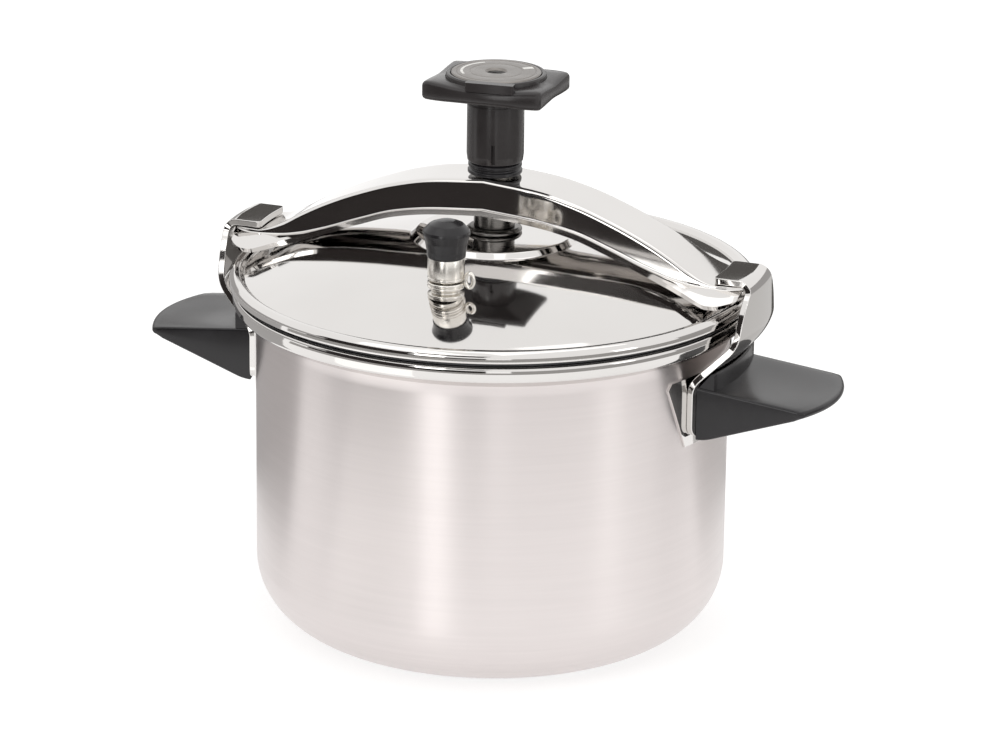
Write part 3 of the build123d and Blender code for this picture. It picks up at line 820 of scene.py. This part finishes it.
# ---------------------------------------------------------------- steam valve
VX, VY = 5.232, -74.817    # the valve's axis, on the lid's front half
VALVE_AROUND = 128
weight_profile = soften([(4.1, 188.5), (7.7, 188.5), (8.45, 189.2), (8.45, 190.0), (8.15, 190.2),
                         (8.15, 190.5), (8.45, 190.7), (8.45, 199.3), (7.2, 199.3), (7.2, 212.4),
                         (2.0, 212.4), (2.0, 205.5), (4.1, 205.5)],
                        [0.2, 0.5, 0.4, 0.1, 0.1, 0.1, 0.1, 0.3, 0, 0, 0, 0, 0], 3)
weight = lathe("valve_weight_body", weight_profile, VALVE_AROUND, VX, VY)
dress(weight, VALVE, "weight", "steel_parts", "valve_weight")
cap_profile = soften([(0, 212.6), (7.3, 212.6), (7.3, 199.4), (8.8, 199.4), (9.0, 202.5), (9.7, 206.5),
                      (10.85, 210.4), (10.7, 211.8), (7.8, 214.8), (4.0, 216.3), (0, 216.6)],
                     [0, 0, 0, 0.5, 2.0, 5.0, 1.0, 0.8, 2.5, 3.0, 0], 5)
cap_piece = lathe("valve_black_cap", cap_profile, VALVE_AROUND, VX, VY)
dress(cap_piece, BLACK, "weight", "bakelite", "valve_cap")


def loop(name, cx, cy, cz, wide, tall, tube, along):
    """An upright oval ring of round wire. along is the direction its width runs, in degrees."""
    dx, dy = math.cos(math.radians(along)), math.sin(math.radians(along))
    rows = []
    for k in range(49):
        t = 2 * math.pi * k / 48
        n = Vector((math.cos(t) * tall, math.sin(t) * wide)).normalized()
        row = []
        for j in range(16):
            q = 2 * math.pi * j / 16
            out, side = tube * math.cos(q), tube * math.sin(q)
            w = wide * math.cos(t) + n.x * out
            row.append((cx + w * dx - side * dy, cy + w * dy + side * dx,
                        cz + tall * math.sin(t) + n.y * out))
        rows.append(row)
    return grid(name, rows, 60, closed_rows=True)


collar_profile = soften([(4.15, 184.7), (7.6, 184.7), (8.3, 185.2), (8.5, 185.9), (8.0, 186.2),
                         (8.0, 186.6), (8.5, 186.9), (8.5, 187.5), (8.2, 187.9), (4.15, 187.9)],
                        [0, 0.3, 0.3, 0.2, 0.1, 0.1, 0.2, 0.3, 0.3, 0], 3)
collar_turned = lathe("valve_collar_turned", collar_profile, VALVE_AROUND, VX, VY)
ear = loop("ear", VX + 11.0, VY + 0.8, 189.1, 1.9, 3.3, 0.95, 4)
collar_ear = joined("valve_collar_ear", collar_turned, ear)
dress(collar_ear, VALVE, "collar", "steel_parts", "valve_collar")
seat_profile = soften([(4.1, 180.4), (8.0, 180.4), (8.4, 181.6), (8.4, 182.4), (6.6, 183.2), (6.6, 184.0),
                       (7.6, 184.6), (4.1, 184.6)], [0, 0, 0.5, 0.5, 0.5, 0.3, 0.2, 0], 4)
seat = lathe("valve_seat_ring", seat_profile, VALVE_AROUND, VX, VY)
dress(seat, TURNED, "lid", "steel_parts", "valve_base")


# ---------------------------------------------------------------- safety valve's spring
def coil_spring(name, cx, cy, z0, z1, radius, wire, turns):
    """A helical spring about the upright through (cx, cy)."""
    steps = 28 * turns
    rows = []
    for k in range(steps + 1):
        t = 2 * math.pi * k / 28
        z = z0 + wire + (z1 - z0 - 2 * wire) * k / steps
        row = []
        for j in range(10):
            q = 2 * math.pi * j / 10
            out = radius + wire * math.cos(q)
            row.append((cx + out * math.cos(t), cy + out * math.sin(t), z + wire * math.sin(q)))
        rows.append(row)
    return grid(name, rows, 60, closed_rows=True, caps=True)


# the safety valve stands opposite the steam valve, and its lift presses the spring up against its seat
SPRING_LOW, SPRING_HIGH = 174.9, 184.4
spring = coil_spring("safety_spring_coil", -VX, -VY, SPRING_LOW, SPRING_HIGH, 2.35, 0.28, 6)
dress(spring, TURNED, "lid", "steel_parts", "safety_spring")
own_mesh(spring)


# ---------------------------------------------------------------- camera
camera_data = bpy.data.cameras.new("camera")
camera = bpy.data.objects.new("camera", camera_data)
bpy.context.scene.collection.objects.link(camera)
SENSOR = 36.0
FOCAL_IN_WIDTHS = 4.6755    # focal length as a multiple of the picture's width
camera_data.sensor_width = SENSOR
camera_data.lens = SENSOR * FOCAL_IN_WIDTHS
camera_data.clip_end = 20.0
forward = Vector((-0.33202, 0.88803, -0.31805)).normalized()
right = Vector((0.93667, 0.35021, 0.0)).normalized()
up = right.cross(forward)
roll = math.radians(-0.757)
rolled_right = right * math.cos(roll) - up * math.sin(roll)
rolled_up = right * math.sin(roll) + up * math.cos(roll)
pose = Matrix((rolled_right, rolled_up, -forward)).transposed().to_4x4()
pose.translation = Vector((0.73342, -1.95142, 0.81858))
camera.matrix_world = pose
bpy.context.scene.camera = camera


# ---------------------------------------------------------------- studio
def emission(name, colour, strength):
    material = bpy.data.materials.new(name)
    material.use_nodes = True
    tree = material.node_tree
    tree.nodes.clear()
    out = tree.nodes.new("ShaderNodeOutputMaterial")
    glow = tree.nodes.new("ShaderNodeEmission")
    glow.inputs[0].default_value = (*colour, 1)
    glow.inputs[1].default_value = strength
    tree.links.new(glow.outputs[0], out.inputs[0])
    return material


def card(name, centre, size, look_at, material):
    """A flat studio card that faces a point, isn't part of the object and shows only in reflections."""
    w, h = size[0] / 2, size[1] / 2
    mesh = bpy.data.meshes.new(name)
    mesh.from_pydata([(-w, -h, 0), (w, -h, 0), (w, h, 0), (-w, h, 0)], [], [(0, 1, 2, 3)])
    mesh.materials.append(material)
    obj = bpy.data.objects.new(name, mesh)
    bpy.context.scene.collection.objects.link(obj)
    obj.rotation_euler = (Vector(look_at) - Vector(centre)).to_track_quat("Z", "Y").to_euler()
    obj.location = centre
    obj.visible_camera = obj.visible_diffuse = obj.visible_shadow = obj.visible_transmission = False


floor_mesh = bpy.data.meshes.new("floor")
floor_mesh.from_pydata([(-6, -6, 0), (6, -6, 0), (6, 6, 0), (-6, 6, 0)], [], [(0, 1, 2, 3)])
floor = bpy.data.objects.new("floor", floor_mesh)
floor.location.z = -0.0003
bpy.context.scene.collection.objects.link(floor)
pale = Nodes("pale_floor")
pale.set(Base_Color=(0.42, 0.42, 0.42, 1), Roughness=0.6, Specular_IOR_Level=0.0,
         Emission_Color=(1.0, 0.995, 0.99, 1), Emission_Strength=0.66)
floor_mesh.materials.append(pale.material)

world = bpy.data.worlds.new("studio")
bpy.context.scene.world = world
world.use_nodes = True
wt = world.node_tree
wt.nodes.clear()
w_out = wt.nodes.new("ShaderNodeOutputWorld")
w_bg = wt.nodes.new("ShaderNodeBackground")
w_bg.inputs[0].default_value = (1.0, 0.995, 0.99, 1)
w_bg.inputs[1].default_value = 1.08
wt.links.new(w_bg.outputs[0], w_out.inputs[0])


def sector_card(name, inner, outer, start, end, z, material):
    """Ground between two distances, in a sector of directions, seen only in reflections."""
    steps = 24
    verts = []
    for r in (inner, outer):
        angles = [math.radians(start + (end - start) * k / steps) for k in range(steps + 1)]
        verts += [(r * math.cos(a), r * math.sin(a), z) for a in angles]
    faces = [(k, k + 1, steps + 2 + k, steps + 1 + k) for k in range(steps)]
    mesh = bpy.data.meshes.new(name)
    mesh.from_pydata(verts, [], faces)
    mesh.materials.append(material)
    obj = bpy.data.objects.new(name, mesh)
    bpy.context.scene.collection.objects.link(obj)
    obj.visible_camera = obj.visible_diffuse = obj.visible_shadow = obj.visible_transmission = False


# rings and sectors of ground that the rim, the bow, the lugs and the foot of the wall reflect
dark = emission("dark_card", (0.030, 0.026, 0.025), 1.0)
sector_card("dark_ground", 0.70, 2.4, -150, -72, 0.002, dark)
dim = emission("dim_ground", (0.40, 0.39, 0.38), 1.0)
sector_card("dim_ground_front", 0.53, 0.70, -160, -62, 0.002, dim)
sector_card("dim_ground_right", 0.53, 1.4, -62, 38, 0.002, dim)
shade = emission("shade_ground", (0.10, 0.095, 0.09), 1.0)
sector_card("ground_behind", 0.34, 0.9, 74, 112, 0.002, shade)
soft = emission("soft_ground", (0.66, 0.65, 0.64), 1.0)
sector_card("ground_right", 0.42, 1.1, 38, 74, 0.002, soft)
lift = emission("ground_glow", (1.0, 0.995, 0.985), 1.45)
sector_card("ground_glow", 0.20, 0.50, -134, -100, 0.002, lift)
edge_grey = emission("edge_ground", (0.46, 0.45, 0.445), 1.0)
edge_pale = emission("edge_ground_right", (0.60, 0.59, 0.58), 1.0)
sector_card("ground_edge_right", 0.24, 0.42, 30, 74, 0.002, edge_pale)
sector_card("ground_edge_left", 0.24, 0.95, 118, 196, 0.002, edge_grey)


def polar(radius, degrees, z):
    return (radius * math.cos(math.radians(degrees)), radius * math.sin(math.radians(degrees)), z)


# strips and flags that shape the wall's highlights, as directions round the object
glow = emission("strip_glow", (1.0, 0.995, 0.985), 3.2)
card("strip_left", polar(1.1, -94.5, 0.30), (0.24, 0.62), (0, 0, 0.12), glow)
weak = emission("strip_weak", (1.0, 0.995, 0.985), 2.1)
card("strip_right", polar(1.1, -14.5, 0.30), (0.20, 0.62), (0, 0, 0.12), weak)
card("dark_front", polar(1.25, -125, 0.50), (1.06, 1.00), (0, 0, 0.20), dark)
card("dark_front_high", polar(1.25, -88, 1.00), (0.72, 0.66), (0, 0, 0.20), dark)
grey = emission("grey_flag", (0.42, 0.41, 0.405), 1.0)
card("flag_left", polar(1.0, -165, 0.22), (0.9, 0.44), (0, 0, 0.12), grey)
card("flag_back_left", polar(1.0, 148, 0.20), (0.9, 0.40), (0, 0, 0.12), grey)
card("flag_right", polar(1.0, 22, 0.22), (0.40, 0.44), (0, 0, 0.12), grey)
card("flag_back_right", polar(1.0, 66, 0.20), (0.8, 0.40), (0, 0, 0.12), grey)
card("flag_behind", polar(1.0, 92, 0.16), (0.62, 0.20), (0, 0, 0.16), shade)
bright = emission("high_glow", (1.0, 0.995, 0.985), 1.6)
card("glow_above_front", polar(0.60, -118, 1.20), (0.80, 0.34), (0, 0, 0.17), bright)
# small dark flags that only the tops of the two hooks reflect
hook_dark = emission("hook_card", (0.105, 0.10, 0.095), 1.0)
for side, x in (("right", 0.099), ("left", -0.144)):
    card("hook_flag_" + side, (x, 0.060, 0.2040), (0.028, 0.011), (x + 0.0225, 0, 0.182), hook_dark)


def area(name, at, size, energy):
    """A rectangular light aimed at the middle of the pot."""
    light = bpy.data.lights.new(name, "AREA")
    light.shape = "RECTANGLE"
    light.size, light.size_y = size
    light.energy = energy
    obj = bpy.data.objects.new(name, light)
    obj.location = at
    obj.rotation_euler = (Vector((0, 0, 0.1)) - Vector(at)).to_track_quat("-Z", "Y").to_euler()
    bpy.context.scene.collection.objects.link(obj)


area("key", (-0.30, -1.9, 1.5), (0.5, 1.1), 6)
area("top", (0.2, 0.3, 2.4), (1.6, 1.6), 4)

bpy.context.scene.view_settings.view_transform = "Standard"
